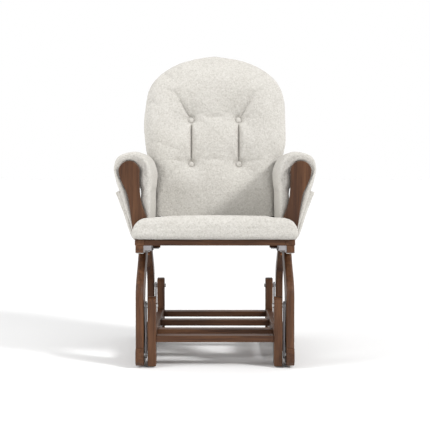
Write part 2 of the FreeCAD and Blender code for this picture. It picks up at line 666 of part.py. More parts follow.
def back_cushion():
    n = BACK_CUSHION_N[0]
    arch = [(-x, v) for x, v in BACK_CUSHION_ARCH] + [(0.0, BACK_CUSHION_TOP)] + BACK_CUSHION_ARCH[::-1]
    top = spline([Vector(x, n, v) for x, v in arch])
    lower = [(236.0, 275.0), (215.0, 236.0), (215.0, 20.0), (-215.0, 20.0), (-215.0, 236.0), (-236.0, 275.0)]
    edges = [top] + polyline([Vector(x, n, v) for x, v in lower])
    cushion = face(edges).extrude(Vector(0, BACK_CUSHION_N[1] - n, 0))
    for side in (-1.0, 1.0):
        for v in BUTTON_V:
            front = button_place(side, v, n - 1.0)
            recess = rod(front, button_place(side, v, n + BUTTON_RECESS), BUTTON_RADIUS + 3.0)
            cushion = cushion.cut(recess)
    return on_back(cushion).cut(below_seat_height(SEAT_CUSHION_W[1] + 4.0))


def back_buttons():
    front = BACK_CUSHION_N[0] + 5.0
    buttons = []
    for side in (-1.0, 1.0):
        for v in BUTTON_V:
            back = button_place(side, v, front + BUTTON_THICK)
            disc = rod(button_place(side, v, front), back, BUTTON_RADIUS)
            buttons.append(on_back(disc.makeFillet(2.5, disc.Edges[:1])))
    return group(buttons)


def arm_pad():
    """Padded sleeve over the armrest, with one panel inside the arm and one outside."""
    y = PAD_Y[0]
    outline = spline([Vector(x, y, z) for x, z in PAD_ROLL])
    edges = [outline] + polyline([Vector(x, y, z) for x, z in PAD_PANELS])
    pad = face(edges).extrude(Vector(0, PAD_Y[1] - y, 0))
    behind = on_back(box((0.0, PAD_INNER_X), (BACK_CUSHION_N[0] - 3.0, FAR), (-FAR, FAR)))
    return pad.cut(behind)


def arm_pocket():
    """Patch pocket on the outer panel: one slanting sheet with a gusset at each end, open at the top."""
    sheet = xz_plate(POCKET_OUTER_LINE + POCKET_INNER_LINE, POCKET_Y)
    starts = (POCKET_Y[0], POCKET_Y[1] - POCKET_GUSSET_THICK)
    ends = [xz_plate(POCKET_GUSSET, (y, y + POCKET_GUSSET_THICK)) for y in starts]
    return sheet.fuse(ends).removeSplitter()


def build_soft_parts():
    save("seat_cushion", seat_cushion())
    save("back_cushion", back_cushion())
    save("back_buttons", back_buttons())
    save_pair("arm_pad", arm_pad())
    save_pair("arm_pocket", arm_pocket())


build_base()
build_link("front", PIVOT_FRONT_Y)
build_link("rear", PIVOT_REAR_Y)
build_side_frames()
build_seat_frame()
build_back_frame()
build_arms()
build_soft_parts()
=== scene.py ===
import json
import math

import bpy
import numpy as np
from mathutils import Matrix, Vector, noise


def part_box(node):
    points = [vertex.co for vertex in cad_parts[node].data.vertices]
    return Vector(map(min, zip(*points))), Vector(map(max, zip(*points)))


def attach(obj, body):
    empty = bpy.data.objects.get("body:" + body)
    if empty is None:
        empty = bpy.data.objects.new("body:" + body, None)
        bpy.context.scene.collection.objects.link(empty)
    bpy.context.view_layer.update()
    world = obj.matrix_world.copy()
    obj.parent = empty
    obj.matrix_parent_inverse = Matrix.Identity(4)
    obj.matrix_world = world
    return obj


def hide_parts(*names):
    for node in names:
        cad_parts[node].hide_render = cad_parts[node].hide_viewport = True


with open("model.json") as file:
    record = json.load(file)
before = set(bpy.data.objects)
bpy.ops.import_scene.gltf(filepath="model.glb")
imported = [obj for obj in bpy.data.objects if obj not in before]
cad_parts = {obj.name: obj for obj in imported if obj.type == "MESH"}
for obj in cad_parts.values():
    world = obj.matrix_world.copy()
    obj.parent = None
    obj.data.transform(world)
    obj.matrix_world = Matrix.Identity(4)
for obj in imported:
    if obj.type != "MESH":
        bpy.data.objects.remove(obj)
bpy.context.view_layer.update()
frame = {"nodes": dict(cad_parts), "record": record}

CHAIR = "chair"

# Planes of the chair, as in the CAD model, in metres and radians
SEAT_FRONT = Vector((0.0, -0.308, 0.403))
SEAT_TILT = math.radians(-4.0)
BACK_FOOT = Vector((0.0, 0.1213, 0.375))
RECLINE = math.radians(-16.7)
SEAT_PLANE = Matrix.Translation(SEAT_FRONT) @ Matrix.Rotation(SEAT_TILT, 4, "X")
BACK_PLANE = Matrix.Translation(BACK_FOOT) @ Matrix.Rotation(RECLINE, 4, "X")

# Camera and light. The world is dimmest, at WORLD_IN_FRONT, on the viewer's side of the chair.
CAMERA_PLACE = (0.0, -3.49, 0.637)
CAMERA_DOWN = math.radians(2.81)
CAMERA_LENS = 85.4
WORLD_IN_FRONT = 0.74
WORLD_FULL_Y = 0.9
AIM = Vector((0.0, 0.0, 0.5))
KEY_PLACE = (2.75, -1.75, 2.75)
KEY_STRENGTH = 2.4
KEY_ANGLE = math.radians(11.0)
FILL_PLACE = (-2.9, -1.4, 2.3)
FILL_POWER = 62.0
FILL_SIZE = 1.6
FLOOR_HALF = 40.0
FLOOR_COLOUR = (0.81, 0.81, 0.81, 1.0)

# Wood: how far the figure and the pores are stretched along the grain
FIGURE_STRETCH = 0.07
PORE_STRETCH = 0.03

# Cloth simulation
CLOTH_STEPS = 20
CLOTH_TENSION = 15.0

# How closely the small ups and downs of the looped yarn follow each other
LOOP_SCALE = 95.0


# Shader helpers

class Shader:
    """Short forms for building one node material."""

    def __init__(self, name):
        self.material = bpy.data.materials.new(name)
        self.material.use_nodes = True
        self.tree = self.material.node_tree
        self.tree.nodes.clear()
        self.out = self.tree.nodes.new("ShaderNodeOutputMaterial")
        self.bsdf = self.tree.nodes.new("ShaderNodeBsdfPrincipled")
        self.tree.links.new(self.bsdf.outputs[0], self.out.inputs["Surface"])
        self.coords = self.tree.nodes.new("ShaderNodeTexCoord")

    def set(self, **values):
        for name, value in values.items():
            self.bsdf.inputs[name.replace("_", " ")].default_value = value

    def link(self, source, target):
        self.tree.links.new(source, target)

    def scaled(self, scale):
        """Object coordinates, stretched."""
        mapping = self.tree.nodes.new("ShaderNodeMapping")
        mapping.inputs["Scale"].default_value = scale
        self.link(self.coords.outputs["Object"], mapping.inputs["Vector"])
        return mapping.outputs[0]

    def noise(self, vector, scale, detail=4.0, rough=0.55, distortion=0.0):
        node = self.tree.nodes.new("ShaderNodeTexNoise")
        node.inputs["Scale"].default_value = scale
        node.inputs["Detail"].default_value = detail
        node.inputs["Roughness"].default_value = rough
        node.inputs["Distortion"].default_value = distortion
        self.link(vector, node.inputs["Vector"])
        return node.outputs["Fac"]

    def cells(self, vector, scale, output="Distance"):
        node = self.tree.nodes.new("ShaderNodeTexVoronoi")
        node.inputs["Scale"].default_value = scale
        self.link(vector, node.inputs["Vector"])
        return node.outputs[output]

    def ramp(self, value, stops):
        node = self.tree.nodes.new("ShaderNodeValToRGB")
        ramp = node.color_ramp
        while len(ramp.elements) < len(stops):
            ramp.elements.new(0.5)
        for element, (place, colour) in zip(ramp.elements, stops):
            element.position = place
            element.color = (*colour, 1.0)
        self.link(value, node.inputs["Fac"])
        return node.outputs["Color"]

    def multiply(self, a, b):
        """Product of two colours."""
        node = self.tree.nodes.new("ShaderNodeMix")
        node.data_type = "RGBA"
        node.blend_type = "MULTIPLY"
        # a Mix node has sockets of the same name for each data type, so its colours go by place
        factor, first, second = node.inputs[0], node.inputs[6], node.inputs[7]
        factor.default_value = 1.0
        self.link(a, first)
        self.link(b, second)
        return node.outputs[2]

    def one_minus(self, value):
        node = self.tree.nodes.new("ShaderNodeMath")
        node.operation = "SUBTRACT"
        node.inputs[0].default_value = 1.0
        self.link(value, node.inputs[1])
        return node.outputs[0]

    def span(self, value, low, high):
        """Map 0..1 to low..high."""
        node = self.tree.nodes.new("ShaderNodeMapRange")
        node.inputs["To Min"].default_value = low
        node.inputs["To Max"].default_value = high
        self.link(value, node.inputs["Value"])
        return node.outputs[0]

    def bump(self, height, strength, distance, under=None):
        node = self.tree.nodes.new("ShaderNodeBump")
        node.inputs["Strength"].default_value = strength
        node.inputs["Distance"].default_value = distance
        self.link(height, node.inputs["Height"])
        if under is not None:
            self.link(under, node.inputs["Normal"])
        self.link(node.outputs[0], self.bsdf.inputs["Normal"])
        return node.outputs[0]


def boucle():
    """Cream looped yarn with beige-grey flecks."""
    s = Shader("boucle")
    here = s.coords.outputs["Object"]
    loops = s.cells(here, 330.0)
    tint = s.cells(here, 260.0, "Color")
    fleck = s.noise(tint, 3.0, 2.0)
    patch = s.noise(here, 170.0, 4.0, 0.6)
    cloud = s.noise(here, 7.0, 2.0)
    yarn = s.ramp(fleck, [(0.30, (0.46, 0.442, 0.41)),
                          (0.46, (0.535, 0.519, 0.487)),
                          (0.70, (0.585, 0.568, 0.536))])
    heather = s.ramp(patch, [(0.36, (0.87, 0.862, 0.85)),
                             (0.52, (0.965, 0.963, 0.957)),
                             (0.66, (1.0, 1.0, 1.0))])
    broad = s.ramp(cloud, [(0.3, (0.97, 0.968, 0.96)), (0.7, (1.0, 1.0, 1.0))])
    colour = s.multiply(s.multiply(yarn, heather), broad)
    s.link(colour, s.bsdf.inputs["Base Color"])
    s.link(s.span(patch, 0.88, 1.0), s.bsdf.inputs["Roughness"])
    s.set(Sheen_Weight=0.15, Sheen_Roughness=0.6, Specular_IOR_Level=0.1)
    s.bsdf.inputs["Sheen Tint"].default_value = (0.98, 0.96, 0.92, 1.0)
    curls = s.bump(s.one_minus(loops), 0.55, 0.0015)
    s.bump(patch, 0.35, 0.0022, curls)
    return s.material


def walnut(name, axis, shade=1.0):
    """Brown stained hardwood whose grain runs along one axis."""
    s = Shader(name)
    figure_scale = [1.0, 1.0, 1.0]
    figure_scale[axis] = FIGURE_STRETCH
    grain_space = s.scaled(figure_scale)
    pore_scale = [1.0, 1.0, 1.0]
    pore_scale[axis] = PORE_STRETCH
    fine_space = s.scaled(pore_scale)
    figure = s.noise(grain_space, 26.0, 5.0, 0.6, 1.4)
    pores = s.noise(fine_space, 420.0, 3.0, 0.7)
    streak = s.noise(fine_space, 95.0, 4.0, 0.6, 0.3)
    dark = tuple(shade * c for c in (0.050, 0.019, 0.0085))
    middle = tuple(shade * c for c in (0.088, 0.037, 0.0155))
    light = tuple(shade * c for c in (0.128, 0.058, 0.026))
    wood = s.ramp(figure, [(0.30, dark), (0.50, middle), (0.72, light)])
    lines = s.ramp(streak, [(0.32, (0.66, 0.62, 0.60)),
                            (0.55, (1.0, 1.0, 1.0)),
                            (0.75, (1.18, 1.16, 1.14))])
    pore = s.ramp(pores, [(0.33, (0.55, 0.50, 0.48)), (0.47, (1.0, 1.0, 1.0))])
    colour = s.multiply(s.multiply(wood, lines), pore)
    s.link(colour, s.bsdf.inputs["Base Color"])
    s.link(s.span(streak, 0.42, 0.58), s.bsdf.inputs["Roughness"])
    s.set(Specular_IOR_Level=0.28)
    low = s.bump(pores, 0.22, 0.0004)
    s.bump(figure, 0.12, 0.0012, low)
    return s.material


def metal(name, colour, roughness, streaks):
    """Plated or machined steel with faint drawing lines."""
    s = Shader(name)
    lines = s.noise(s.scaled((streaks, 1.0, 1.0)), 220.0, 3.0)
    blotch = s.noise(s.coords.outputs["Object"], 60.0, 3.0)
    tone = s.ramp(blotch, [(0.3, tuple(0.86 * c for c in colour)), (0.7, colour)])
    s.link(tone, s.bsdf.inputs["Base Color"])
    s.link(s.span(lines, roughness - 0.07, roughness + 0.10), s.bsdf.inputs["Roughness"])
    s.set(Metallic=1.0)
    s.bump(lines, 0.10, 0.0003)
    return s.material


def powder_coat():
    """Grey painted steel with fine orange peel."""
    s = Shader("grey_steel")
    peel = s.noise(s.coords.outputs["Object"], 900.0, 2.0)
    wear = s.noise(s.coords.outputs["Object"], 45.0, 4.0)
    tone = s.ramp(wear, [(0.35, (0.235, 0.225, 0.235)), (0.65, (0.31, 0.30, 0.31))])
    s.link(tone, s.bsdf.inputs["Base Color"])
    s.link(s.span(wear, 0.38, 0.55), s.bsdf.inputs["Roughness"])
    s.set(Metallic=0.35)
    s.bump(peel, 0.15, 0.0003)
    return s.material


def nylon():
    """Off-white moulded nylon, slightly scuffed."""
    s = Shader("nylon")
    mould = s.noise(s.coords.outputs["Object"], 300.0, 3.0)
    scuff = s.noise(s.coords.outputs["Object"], 70.0, 4.0)
    tone = s.ramp(scuff, [(0.3, (0.60, 0.58, 0.53)), (0.7, (0.74, 0.72, 0.67))])
    s.link(tone, s.bsdf.inputs["Base Color"])
    s.link(s.span(scuff, 0.45, 0.65), s.bsdf.inputs["Roughness"])
    s.bump(mould, 0.1, 0.0002)
    return s.material


def plain_floor():
    material = bpy.data.materials.new("floor")
    material.use_nodes = True
    bsdf = material.node_tree.nodes["Principled BSDF"]
    bsdf.inputs["Base Color"].default_value = FLOOR_COLOUR
    bsdf.inputs["Roughness"].default_value = 0.9
    bsdf.inputs["Specular IOR Level"].default_value = 0.1
    return material


FABRIC = boucle()
GRAIN = [walnut("walnut_across", 0), walnut("walnut_back", 1), walnut("walnut_up", 2)]
BEECH = walnut("dowel_wood", 0, 3.2)
ZINC = metal("zinc_steel", (0.72, 0.72, 0.71), 0.30, 0.05)
BEARING = metal("bearing_steel", (0.68, 0.68, 0.69), 0.22, 0.4)
GREY = powder_coat()
NYLON = nylon()


def dress(obj, material):
    obj.data.materials.clear()
    obj.data.materials.append(material)


def dress_cad_nodes():
    """Give the CAD nodes their materials; wood takes the grain of its node's longest side."""
    slots = {row["node"]: row["material_slot"] for row in frame["record"]["subparts"]}
    by_slot = {"zinc_steel": ZINC, "bearing_steel": BEARING, "grey_steel": GREY, "nylon": NYLON,
               "dowel_wood": BEECH}
    for name, obj in frame["nodes"].items():
        slot = slots[name]
        if slot == "walnut_wood":
            low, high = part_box(name)
            size = high - low
            # a group of parallel slats or rails can be longer across them than along them
            if name in ("seat_slats", "base_cross_rails_mid"):
                size = Vector((1.0, 0.0, 0.0))
            elif name == "back_slats":
                size = Vector((0.0, 0.0, 1.0))
            dress(obj, GRAIN[max(range(3), key=lambda i: size[i])])
        elif slot in by_slot:
            dress(obj, by_slot[slot])


# Mesh helpers

def mesh_object(name, verts, faces):
    mesh = bpy.data.meshes.new(name)
    mesh.from_pydata(np.asarray(verts).tolist(), [], np.asarray(faces).tolist())
    mesh.update()
    obj = bpy.data.objects.new(name, mesh)
    bpy.context.collection.objects.link(obj)
    return obj


def places(obj):
    co = np.empty(len(obj.data.vertices) * 3)
    obj.data.vertices.foreach_get("co", co)
    return co.reshape(-1, 3)


def set_places(obj, co):
    obj.data.vertices.foreach_set("co", co.ravel())
    obj.data.update()


def normals(obj):
    vn = np.empty(len(obj.data.vertices) * 3)
    obj.data.vertex_normals.foreach_get("vector", vn)
    return vn.reshape(-1, 3)


def apply_modifiers(obj):
    bpy.context.view_layer.update()
    graph = bpy.context.evaluated_depsgraph_get()
    mesh = bpy.data.meshes.new_from_object(obj.evaluated_get(graph))
    obj.modifiers.clear()
    obj.data = mesh


def relax(obj, times):
    """Even out the steps that a sampled field leaves in a skin."""
    modifier = obj.modifiers.new("Smooth", "SMOOTH")
    modifier.factor = 0.5
    modifier.iterations = times
    apply_modifiers(obj)


def subdivide(obj):
    modifier = obj.modifiers.new("Subdivision", "SUBSURF")
    modifier.levels = 1
    modifier.render_levels = 1
    apply_modifiers(obj)


def shade_smooth(obj):
    obj.data.polygons.foreach_set("use_smooth", [True] * len(obj.data.polygons))
    obj.data.update()


def shift_along_normals(obj, amount):
    set_places(obj, places(obj) + normals(obj) * np.reshape(amount, (-1, 1)))


def noise_at(points, scale, seed):
    """Smooth noise in -1..1 at each point."""
    offset = Vector((seed * 7.3, seed * 3.1, seed * 5.7))
    return np.array([noise.noise(Vector(p) * scale + offset) for p in points])


def grid(low, high, step):
    """Evenly spaced sample places through a box, as three arrays."""
    axes = [np.arange(a, b + step, step) for a, b in zip(low, high)]
    return np.meshgrid(*axes, indexing="ij")


def skin(name, field, low, step):
    """Closed mesh of quads where a field goes through zero.

    The field is sampled on a grid of this step from the low corner, and is negative inside.
    Each grid cell that the surface passes through gets one vertex, the mean of the places
    where it cuts the cell's edges, and each cut edge gets a quad of the four cells round it.
    """
    cells = np.array(field.shape) - 1
    inside = field < 0.0
    total = np.zeros((*cells, 3))
    count = np.zeros(cells)
    quads = []
    for axis in range(3):
        others = [a for a in range(3) if a != axis]
        for da in (0, 1):
            for db in (0, 1):
                start = [0, 0, 0]
                start[others[0]], start[others[1]] = da, db
                end = list(start)
                end[axis] = 1
                f0 = field[tuple(slice(s, s + c) for s, c in zip(start, cells))]
                f1 = field[tuple(slice(s, s + c) for s, c in zip(end, cells))]
                crossed = (f0 < 0.0) != (f1 < 0.0)
                gap = np.where(crossed, f0 - f1, 1.0)
                for a in range(3):
                    part = f0 / gap if a == axis else float(start[a])
                    total[..., a] += np.where(crossed, part, 0.0)
                count += crossed
    used = count > 0
    number = np.full(tuple(cells), -1)
    number[used] = np.arange(used.sum())
    corner = np.stack(np.nonzero(used), axis=1)
    verts = np.array(low) + step * (corner + total[used] / count[used][:, None])
    for axis in range(3):
        a, b = [x for x in range(3) if x != axis]
        first = [slice(1, n) for n in cells]
        first[axis] = slice(0, cells[axis])
        second = list(first)
        second[axis] = slice(1, cells[axis] + 1)
        crossed = inside[tuple(first)] != inside[tuple(second)]
        edges = np.stack(np.nonzero(crossed), axis=1)
        edges[:, [a, b]] += 1
        outward = inside[tuple(edges.T)]
        ring = []
        for da, db in ((-1, -1), (0, -1), (0, 0), (-1, 0)):
            at = edges.copy()
            at[:, a] += da
            at[:, b] += db
            ring.append(number[tuple(at.T)])
        ring = np.stack(ring, axis=1)
        flip = outward if axis != 1 else ~outward
        ring[~flip] = ring[~flip][:, ::-1]
        quads.append(ring)
    return mesh_object(name, verts, np.concatenate(quads))


def curve_points(points, per_span=8):
    """A smooth line through points, as an array (uniform Catmull-Rom, ends doubled)."""
    p = [np.array(points[0])] + [np.array(q) for q in points] + [np.array(points[-1])]
    line = []
    for i in range(1, len(p) - 2):
        for t in np.arange(per_span) / per_span:
            a = 2.0 * p[i]
            b = p[i + 1] - p[i - 1]
            c = 2.0 * p[i - 1] - 5.0 * p[i] + 4.0 * p[i + 1] - p[i + 2]
            d = 3.0 * p[i] - p[i - 1] - 3.0 * p[i + 1] + p[i + 2]
            line.append(0.5 * (a + b * t + c * t * t + d * t ** 3))
    line.append(np.array(points[-1]))
    return np.array(line)


def outline_distance(x, y, outline):
    """Signed distance of (x, y) places from a closed outline, negative inside."""
    nearest = np.full(x.shape, 1e9)
    inside = np.zeros(x.shape, dtype=bool)
    for (ax, ay), (bx, by) in zip(outline, np.roll(outline, -1, axis=0)):
        ex, ey = bx - ax, by - ay
        length = max(ex * ex + ey * ey, 1e-12)
        t = np.clip(((x - ax) * ex + (y - ay) * ey) / length, 0.0, 1.0)
        nearest = np.minimum(nearest, np.hypot(x - ax - t * ex, y - ay - t * ey))
        if ey != 0.0:
            spans = (ay > y) != (by > y)
            inside ^= spans & (x < ax + ex * (y - ay) / ey)
    return np.where(inside, -nearest, nearest)


def round_max(a, b, radius):
    """Intersection of two distances whose shared edge is rounded."""
    corner = np.hypot(np.maximum(a + radius, 0.0), np.maximum(b + radius, 0.0)) - radius
    return np.where((a > -radius) & (b > -radius), corner, np.maximum(a, b))


def round_min(a, b, radius):
    """Union of two distances with a fillet between them."""
    return -round_max(-a, -b, radius)


def box_distance(x, half):
    """Distance from a slab this far to each side of zero, negative inside."""
    return np.abs(x) - half


def rise(value, start, length):
    """0 up to start, then up to 1 over a length."""
    return np.clip((value - start) / length, 0.0, 1.0)


def inflate(obj, pressure, cap, held):
    """Blow a closed shape up as cloth, and let no point move further than cap.

    held has one value a point, from 0 for free to 1 for pinned.
    """
    before = places(obj)
    cloth = obj.modifiers.new("Cloth", "CLOTH")
    settings = cloth.settings
    settings.quality = 5
    settings.mass = 0.3
    settings.tension_stiffness = CLOTH_TENSION
    settings.compression_stiffness = CLOTH_TENSION
    settings.shear_stiffness = 5.0
    settings.bending_stiffness = 0.5
    settings.use_pressure = True
    settings.uniform_pressure_force = pressure
    settings.effector_weights.gravity = 0.0
    cloth.collision_settings.use_collision = False
    group = obj.vertex_groups.new(name="held")
    for i in np.nonzero(held > 0.01)[0]:
        group.add([int(i)], float(held[i]), "REPLACE")
    settings.vertex_group_mass = "held"
    cloth.point_cache.frame_start = 1
    cloth.point_cache.frame_end = CLOTH_STEPS
    for step in range(1, CLOTH_STEPS + 1):
        bpy.context.scene.frame_set(step)
    apply_modifiers(obj)
    bpy.context.scene.frame_set(1)
    move = places(obj) - before
    length = np.linalg.norm(move, axis=1, keepdims=True)
    move *= np.minimum(1.0, cap / np.maximum(length, 1e-9))
    set_places(obj, before + move)


def to_world(obj, plane):
    """Carry a mesh from the axes of the seat or the back into the chair's own."""
    obj.data.transform(plane)
    obj.data.update()


def finish_soft(obj, node):
    """Dress a soft piece and put it in the place of its CAD node, on the moving chair."""
    dress(obj, FABRIC)
    shade_smooth(obj)
    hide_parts(node)
    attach(obj, CHAIR)


def nap(obj, depth, scale, seed):
    """Lift the surface a little here and there, as thick looped cloth does."""
    shift_along_normals(obj, depth * noise_at(places(obj), scale, seed))


def groove(obj, distance, depth, width):
    """Sink a seam where distance, one value a point, is near zero."""
    shift_along_normals(obj, -depth * np.exp(-(distance / width) ** 2))


def mirror_copy(obj, name):
    """The same piece on the chair's other side."""
    other = bpy.data.objects.new(name, obj.data.copy())
    bpy.context.collection.objects.link(other)
    other.data.transform(Matrix.Scale(-1.0, 4, Vector((1, 0, 0))))
    other.data.flip_normals()
    return other


# Seat cushion, in the seat's axes: across, back from the front, up from the rails

SEAT_STEP = 0.006
SEAT_BOTTOM = 0.0008
SEAT_SAG = -0.0040
SEAT_TOP = 0.070
SEAT_CROWN = 0.005
SEAT_MAIN_HALF = 0.2005
SEAT_FRONT_HALF = 0.262
SEAT_FRONT_U = -0.020
SEAT_EAR_END = 0.013
SEAT_REAR_U = 0.418
SEAT_CORNER = 0.040
SEAT_EAR_CORNER = 0.014
SEAT_EAR_FILLET = 0.006
SEAT_CROWN_HALF = 0.235
SEAT_CROWN_END = 0.40
SEAT_CROWN_FADE = 0.08
SEAT_TOP_ROUND = 0.022
SEAT_BOTTOM_ROUND = 0.018
SEAT_SHOULDER_ROUND = 0.052
SEAT_SHOULDER_BLEND = 0.004
SEAT_SEAM_HEIGHT = 0.036
SEAT_SEAM_DEPTH = 0.0008
SEAT_SEAM_WIDTH = 0.0024
SEAT_PRESSURE = 4.0
SEAT_SWELL = 0.0025
SEAT_HELD_BELOW = 0.020
SEAT_HELD_BEYOND_X = 0.180
SEAT_REST = 0.0006
FRONT_RAIL_REAR_U = 0.050


def behind_front_rail(u):
    """0 over the front rail, 1 behind it, where the cushion's underside sags towards the slats."""
    return rise(u, FRONT_RAIL_REAR_U, 0.010)


def seat_shape(x, u, w):
    """Signed distance from the cushion: a main body, and ears in front of the arm posts."""
    main_u = (SEAT_FRONT_U + SEAT_REAR_U) / 2.0
    main_length = box_distance(u - main_u, SEAT_REAR_U - main_u)
    main = round_max(box_distance(x, SEAT_MAIN_HALF), main_length, SEAT_CORNER)
    ear_u = (SEAT_FRONT_U + SEAT_EAR_END) / 2.0
    ear_length = box_distance(u - ear_u, SEAT_EAR_END - ear_u)
    ears = round_max(box_distance(x, SEAT_FRONT_HALF), ear_length, SEAT_EAR_CORNER)
    plan = round_min(main, ears, SEAT_EAR_FILLET)
    crown = SEAT_CROWN * np.clip(1.0 - (x / SEAT_CROWN_HALF) ** 4, -0.5, 1.0)
    top = SEAT_TOP + crown * np.clip((SEAT_CROWN_END - u) / SEAT_CROWN_FADE, 0.0, 1.0)
    bottom = SEAT_BOTTOM + (SEAT_SAG - SEAT_BOTTOM) * behind_front_rail(u)
    upper = round_max(plan, w - top, SEAT_TOP_ROUND)
    lower = round_max(plan, bottom - w, SEAT_BOTTOM_ROUND)
    body = np.where(w > (SEAT_BOTTOM + SEAT_TOP) / 2.0, upper, lower)
    shoulders = round_max(box_distance(x, SEAT_FRONT_HALF), w - top, SEAT_SHOULDER_ROUND)
    return round_max(body, shoulders, SEAT_SHOULDER_BLEND)


def seat_cushion():
    """The seat cushion, held at its underside and toward both sides while it swells."""
    low = (-0.29, -0.05, -0.01)
    body = seat_shape(*grid(low, (0.29, 0.45, 0.10), SEAT_STEP))
    cushion = skin("seat_cushion_soft", body, low, SEAT_STEP)
    relax(cushion, 4)
    co = places(cushion)
    underside = np.clip((SEAT_HELD_BELOW - co[:, 2]) / 0.010, 0.0, 1.0)
    sides = np.clip((np.abs(co[:, 0]) - SEAT_HELD_BEYOND_X) / 0.040, 0.0, 0.85)
    inflate(cushion, SEAT_PRESSURE, SEAT_SWELL, np.maximum(underside, sides))
    subdivide(cushion)
    seam = places(cushion)[:, 2] - SEAT_SEAM_HEIGHT
    groove(cushion, seam, SEAT_SEAM_DEPTH, SEAT_SEAM_WIDTH)
    nap(cushion, 0.0008, LOOP_SCALE, 1)
    nap(cushion, 0.0016, 13.0, 2)
    co = places(cushion)
    rest = SEAT_REST + (SEAT_SAG - SEAT_BOTTOM) * behind_front_rail(co[:, 1])
    co[:, 2] = np.maximum(co[:, 2], rest)
    set_places(cushion, co)
    to_world(cushion, SEAT_PLANE)
    finish_soft(cushion, "seat_cushion")


# Back cushion, in the back's axes: across, behind the frame's front face, up the back

BACK_STEP = 0.005
BACK_HALF_THICK = 0.046
BACK_RIM = 0.062
BACK_RIM_LOW = 0.034
BACK_RIM_CHANGE_V = 0.14
BACK_RIM_CHANGE = 0.16
BACK_ARCH = [(0.222, 0.020), (0.224, 0.160), (0.236, 0.260), (0.2515, 0.340), (0.2535, 0.445),
             (0.240, 0.538), (0.196, 0.597), (0.124, 0.643), (0.0, 0.672)]
BUTTON_X = 0.084
BUTTON_V = (0.253, 0.417)
CUSHION_FRONT_N = -0.104
CUSHION_MIDDLE_N = -0.055
BACK_OVER_SEAT = 0.0125
BACK_PRESSURE = 3.0
BACK_SWELL = 0.016
BACK_SEAM_DEPTH = 0.0018
BACK_SEAM_WIDTH = 0.0025
BACK_HELD_BELOW_V = 0.160
FOLD_HELD = 0.006
BUTTON_HELD = 0.012
SEAM_HELD = 0.010

# Depths and widths of the valleys that the tufting draws into the front
DIMPLE_DEPTH = 0.030
DIMPLE_WIDTH = 0.026
BRIDGE_DEPTH = 0.0055
BRIDGE_WIDTH = 0.017
STITCH_DEPTH = 0.0080
STITCH_WIDTH = 0.0027
UPPER_STITCH_DEPTH = 0.0060
UPPER_STITCH_WIDTH = 0.0034
UPPER_STITCH_REACH = (0.046, 0.078)
RING_DEPTH = 0.0052
RING_WIDTH = 0.0040
RING_RADIUS = 0.0122
PULL_BEFORE_INFLATING = 0.75


def along(points, start, end):
    """Distance from a line in the (x, v) plane, and how far along it each point lies, 0..1."""
    start = np.array(start)
    run = np.array(end) - start
    t = np.clip(((points - start) @ run) / (run @ run), 0.0, 1.0)
    gap = np.linalg.norm(points - (start + t[:, None] * run), axis=1)
    return gap, t


def crease(points, start, end, depth, width, end_share=0.0):
    """A valley along a line that fades from depth at its start to end_share of it at its end."""
    gap, t = along(points, start, end)
    strength = depth * (1.0 - (1.0 - end_share) * t)
    return strength * (0.72 * np.exp(-gap / width) + 0.28 * np.exp(-(gap / (3.2 * width)) ** 2))


def tuft_pull(points):
    """How far the front of the back cushion is drawn in at each (x, v) point."""
    pull = np.zeros(len(points))
    low, high = BUTTON_V
    valleys = []
    for side in (-1.0, 1.0):
        x = side * BUTTON_X
        for v in BUTTON_V:
            gap = np.linalg.norm(points - np.array((x, v)), axis=1)
            pull = np.maximum(pull, DIMPLE_DEPTH * np.exp(-gap / DIMPLE_WIDTH))
        valleys.append(crease(points, (x, low), (x, high), 0.022, 0.0055, 1.0))
        valleys.append(crease(points, (x, high), (1.78 * x, high + 0.105), 0.024, 0.009))
        valleys.append(crease(points, (x, high), (1.12 * x, high + 0.118), 0.016, 0.008))
        valleys.append(crease(points, (x, low), (2.1 * x, low + 0.012), 0.018, 0.011))
    valleys.append(crease(points, (BUTTON_X, low), (1.55 * BUTTON_X, low - 0.055), 0.019, 0.008))
    valleys.append(crease(points, (-0.206, 0.330), (-0.150, 0.300), 0.005, 0.008, 0.5))
    valleys.append(crease(points, (-0.160, 0.310), (-0.100, 0.285), 0.006, 0.007, 0.5))
    for valley in valleys:
        pull = np.maximum(pull, valley)
    for v, lift in ((low, 0.014), (high, 0.004)):
        arch = v + lift * np.cos(np.clip(points[:, 0] / BUTTON_X, -1, 1) * math.pi / 2.0)
        inside = np.clip(1.0 - (np.abs(points[:, 0]) / BUTTON_X) ** 6, 0.0, 1.0)
        pull = np.maximum(pull, BRIDGE_DEPTH * inside * np.exp(-((points[:, 1] - arch) / BRIDGE_WIDTH) ** 2))
    return pull


def stitched_pull(points):
    """The narrow folds that the thread itself makes: between the buttons of a side, round each
    button, and up and outwards from the top two."""
    pull = np.zeros(len(points))
    low, high = BUTTON_V
    for side in (-1.0, 1.0):
        x = side * BUTTON_X
        gap, _ = along(points, (x, low), (x, high))
        pull = np.maximum(pull, STITCH_DEPTH * np.exp(-(gap / STITCH_WIDTH) ** 2))
        reach_x, reach_v = UPPER_STITCH_REACH
        gap, t = along(points, (x, high), (x + side * reach_x, high + reach_v))
        pull = np.maximum(pull, UPPER_STITCH_DEPTH * (1.0 - t) * np.exp(-(gap / UPPER_STITCH_WIDTH) ** 2))
        for v in BUTTON_V:
            gap = np.linalg.norm(points - np.array((x, v)), axis=1)
            pull = np.maximum(pull, RING_DEPTH * np.exp(-((gap - RING_RADIUS) / RING_WIDTH) ** 2))
    return pull


def front_share(co, depth):
    """0 at the cushion's middle plane, 1 this far in front of it and beyond."""
    return np.clip((CUSHION_MIDDLE_N - co[:, 1]) / depth, 0.0, 1.0)


